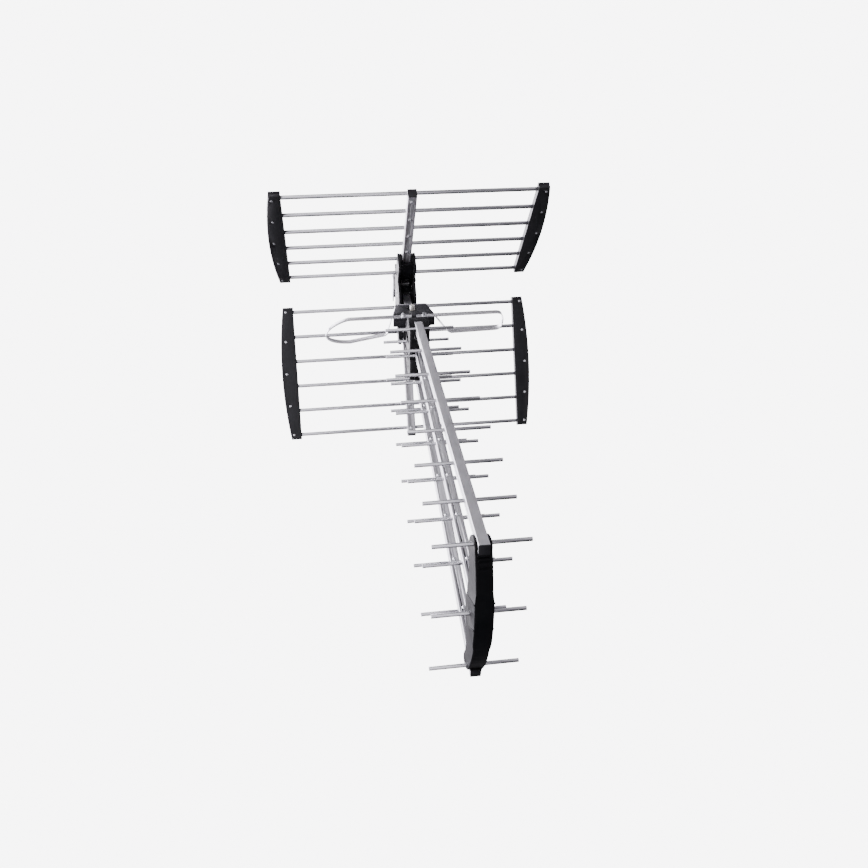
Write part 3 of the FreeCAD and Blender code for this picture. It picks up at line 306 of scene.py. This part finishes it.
# ---- threads ---------------------------------------------------------------------
# Section of a thread's ridge, in pitches.
RIDGE_HEIGHT, RIDGE_ROOT = 0.28, 0.3              # above and below the plain shank
CREST_HALF_WIDTH, ROOT_HALF_WIDTH = 0.09, 0.46
STEPS_PER_TURN = 28
RUN_OUT = 8.0             # steps over which the ridge rises, and fades at its end
LAST_HEIGHT = 0.02        # share of the height that is left at the very end

F_RADIUS, F_PITCH, F_THREADED = 4.76 * MM, 0.794 * MM, 9.4 * MM            # 3/8-32
U_RADIUS, U_PITCH, U_THREADED = 2.5 * MM, 0.8 * MM, 16.0 * MM              # M5
TILT_RADIUS, TILT_PITCH, TILT_THREADED = 4.0 * MM, 1.25 * MM, 9.4 * MM     # M8
F_PLAIN_END = 0.3 * MM
TILT_PLAIN_END = 0.8 * MM


def thread(name, body, slot, start, axis, radius, pitch, length):
    """Helical ridge just proud of a plain shank, from start along axis; all in metres."""
    height, sink = pitch * RIDGE_HEIGHT, pitch * RIDGE_ROOT
    steps = (length / pitch - 1.0) * STEPS_PER_TURN
    bm = bmesh.new()
    rings = []
    for k in range(int(steps) + 1):
        angle = 2 * math.pi * k / STEPS_PER_TURN
        crest = height * min(1.0, k / RUN_OUT, (steps - k) / RUN_OUT + LAST_HEIGHT)
        along = pitch * k / STEPS_PER_TURN + pitch * 0.5
        ring = []
        for out, shift in ((-sink, -ROOT_HALF_WIDTH), (crest, -CREST_HALF_WIDTH),
                           (crest, CREST_HALF_WIDTH), (-sink, ROOT_HALF_WIDTH)):
            r = radius + out
            corner = (r * math.cos(angle), r * math.sin(angle), along + shift * pitch)
            ring.append(bm.verts.new(corner))
        rings.append(ring)
    for first, second in zip(rings, rings[1:]):
        for a, b in ((0, 1), (1, 2), (2, 3), (3, 0)):
            bm.faces.new((first[a], first[b], second[b], second[a]))
    bm.faces.new(rings[0][::-1])
    bm.faces.new(rings[-1])
    bmesh.ops.recalc_face_normals(bm, faces=bm.faces)
    turn = Vector(axis).to_track_quat("Z", "Y").to_matrix().to_4x4()
    bm.transform(Matrix.Translation(start) @ turn)
    mesh = bpy.data.meshes.new(name)
    bm.to_mesh(mesh)
    bm.free()
    for face in mesh.polygons:
        face.use_smooth = True
    piece = bpy.data.objects.new(name, mesh)
    bpy.context.scene.collection.objects.link(piece)
    mesh.materials.append(MATERIALS[SLOT_MATERIAL[slot]])
    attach(piece, body)


def threads():
    """Threads of the F connector, of both U-bolt legs and of the tilt bolt."""
    low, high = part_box("f_connector")
    middle = (low + high) / 2
    thread("f_connector_thread", "antenna", "nickel",
           (middle.x, middle.y, high.z - F_THREADED - F_PLAIN_END), (0, 0, 1),
           F_RADIUS, F_PITCH, F_THREADED)
    low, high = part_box("u_bolt")
    for side, x in (("right", high.x - U_RADIUS), ("left", low.x + U_RADIUS)):
        thread("u_bolt_thread_" + side, "mast_clamp_body", "bracket_steel",
               (x, low.y, (low.z + high.z) / 2), (0, 1, 0), U_RADIUS, U_PITCH, U_THREADED)
    low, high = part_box("tilt_bolt")
    thread("tilt_bolt_thread", "mast_clamp_body", "zinc_steel",
           (high.x - TILT_THREADED - TILT_PLAIN_END, (low.y + high.y) / 2, (low.z + high.z) / 2),
           (1, 0, 0), TILT_RADIUS, TILT_PITCH, TILT_THREADED)


# ---- studio ----------------------------------------------------------------------
# Soft panels painted into the world: direction, the cosines where each fades in and
# is full, and its brightness. They are what the metal reflects.
SOFT_PANELS = (
    ((0.00, 0.88, 0.47), 0.45, 0.95, 0.16),      # behind and above
    ((-0.78, 0.61, -0.12), 0.54, 0.85, 10.5),    # to the left and behind, a little below
    ((-0.62, -0.72, 0.30), 0.30, 0.92, 1.18),    # beside the camera, to the left
    ((-0.30, 0.10, 0.95), 0.55, 0.95, 0.24),     # overhead
    ((0.92, 0.15, 0.25), 0.45, 0.92, 0.85),      # to the right
)
GROUND_LIGHT = ((0.00, 0.25, -0.97), 0.80, 0.99, 0.33)   # a last panel, from beneath
GROUND_FADE = (-0.74, -0.50)     # the other panels' light fades out between these heights
GROUND_SHARE = 0.22              # what is left of it below
ROOM = (0.09, 0.108)             # the room's own brightness, straight down and straight up
ROOM_TINT = (1.0, 0.965, 1.045, 1.0)
UP = (0, 0, 1)

LAMP_ENERGY = 0.48
LAMP_SPREAD = 50.0               # degrees across
LAMP_AIM = (0.35, 0.25, -1.0)

BACKDROP_GLOW = 6.0
DOME_RADIUS = 40.0
FLOOR_HALF = 60.0
FLOOR_DROP = 1.5                 # below the object, so that a low view still clears the floor
# The panels light the dome more than the floor, so its base colour is darker. The two
# then look alike where they meet.
FLOOR_TONES = (0.86, 0.9)
DOME_TONES = (0.28, 0.3)
STAGE_NOISE_SCALE = 3.0
STAGE_ROUGHNESS = 0.9

CAMERA_PLACE = (-0.1864, -1.8506, 0.9140)
CAMERA_TURN = (53.28, -0.98, -7.70)      # degrees
CAMERA_LENS, CAMERA_SENSOR = 36.4, 36.0  # mm


class Sky:
    """Builds the world's brightness as a sum of smooth functions of direction."""

    def __init__(self, world):
        world.use_nodes = True
        self.tree = world.node_tree
        self.place = self.tree.nodes.new("ShaderNodeTexCoord")
        self.total = None

    def ramp(self, direction, low, high, low_value, high_value):
        """Goes smoothly from one value to the other as the cosine goes from low to high."""
        facing = self.tree.nodes.new("ShaderNodeVectorMath")
        facing.operation = "DOT_PRODUCT"
        facing.inputs[1].default_value = Vector(direction).normalized()
        self.tree.links.new(self.place.outputs["Generated"], facing.inputs[0])
        soft = self.tree.nodes.new("ShaderNodeMapRange")
        soft.interpolation_type = "SMOOTHSTEP"
        soft.inputs["From Min"].default_value = low
        soft.inputs["From Max"].default_value = high
        soft.inputs["To Min"].default_value = low_value
        soft.inputs["To Max"].default_value = high_value
        self.tree.links.new(facing.outputs["Value"], soft.inputs["Value"])
        return soft.outputs["Result"]

    def combine(self, operation, value):
        """Joins a value to the total so far; the first value starts the total."""
        if self.total is None:
            self.total = value
            return
        node = self.tree.nodes.new("ShaderNodeMath")
        node.operation = operation
        self.tree.links.new(self.total, node.inputs[0])
        self.tree.links.new(value, node.inputs[1])
        self.total = node.outputs["Value"]


def sky():
    """A dim room with soft panels in it and a dark ground."""
    world = bpy.data.worlds.new("studio")
    light = Sky(world)
    light.combine("ADD", light.ramp(UP, -1, 1, *ROOM))
    for direction, fade, full, power in SOFT_PANELS:
        light.combine("ADD", light.ramp(direction, fade, full, 0.0, power))
    light.combine("MULTIPLY", light.ramp(UP, *GROUND_FADE, GROUND_SHARE, 1.0))
    direction, fade, full, power = GROUND_LIGHT
    light.combine("ADD", light.ramp(direction, fade, full, 0.0, power))
    background = light.tree.nodes["Background"]
    background.inputs["Color"].default_value = ROOM_TINT
    light.tree.links.new(light.total, background.inputs["Strength"])
    bpy.context.scene.world = world


def overhead_lamp():
    data = bpy.data.lights.new("overhead", "SUN")
    data.energy, data.angle = LAMP_ENERGY, math.radians(LAMP_SPREAD)
    lamp = bpy.data.objects.new("overhead", data)
    lamp.rotation_euler = Vector(LAMP_AIM).to_track_quat("-Z", "Y").to_euler()
    bpy.context.scene.collection.objects.link(lamp)


def stage_piece(name, bm, tones):
    """White, softly glowing surface round the object, which neither lights nor shades it."""
    mesh = bpy.data.meshes.new(name)
    bm.to_mesh(mesh)
    bm.free()
    piece = bpy.data.objects.new(name, mesh)
    bpy.context.scene.collection.objects.link(piece)
    n = Nodes(name)
    colour = n.ramp(n.noise(STAGE_NOISE_SCALE), *[(tone,) * 3 for tone in tones])
    n.link(colour, "Color", n.shader, "Base Color")
    n.shader.inputs["Roughness"].default_value = STAGE_ROUGHNESS
    n.shader.inputs["Specular IOR Level"].default_value = 0.0
    n.shader.inputs["Emission Color"].default_value = (1.0, 1.0, 1.0, 1.0)
    n.shader.inputs["Emission Strength"].default_value = BACKDROP_GLOW
    mesh.materials.append(n.material)
    piece.visible_glossy = False
    piece.visible_diffuse = False
    piece.visible_shadow = False


def backdrop():
    """White floor, and a white dome so that every view has the same plain background."""
    level = cad_box[0].z - FLOOR_DROP
    floor = bmesh.new()
    corners = ((-1, -1), (1, -1), (1, 1), (-1, 1))
    floor.faces.new([floor.verts.new((x * FLOOR_HALF, y * FLOOR_HALF, level))
                     for x, y in corners])
    stage_piece("floor", floor, FLOOR_TONES)
    dome = bmesh.new()
    bmesh.ops.create_icosphere(dome, subdivisions=5, radius=DOME_RADIUS)
    stage_piece("dome", dome, DOME_TONES)


def camera():
    data = bpy.data.cameras.new("camera")
    data.lens, data.sensor_width = CAMERA_LENS, CAMERA_SENSOR
    cam = bpy.data.objects.new("camera", data)
    cam.location = CAMERA_PLACE
    cam.rotation_euler = [math.radians(a) for a in CAMERA_TURN]
    bpy.context.scene.collection.objects.link(cam)
    bpy.context.scene.camera = cam


dress_cad_nodes()
threads()
sky()
overhead_lamp()
backdrop()
camera()
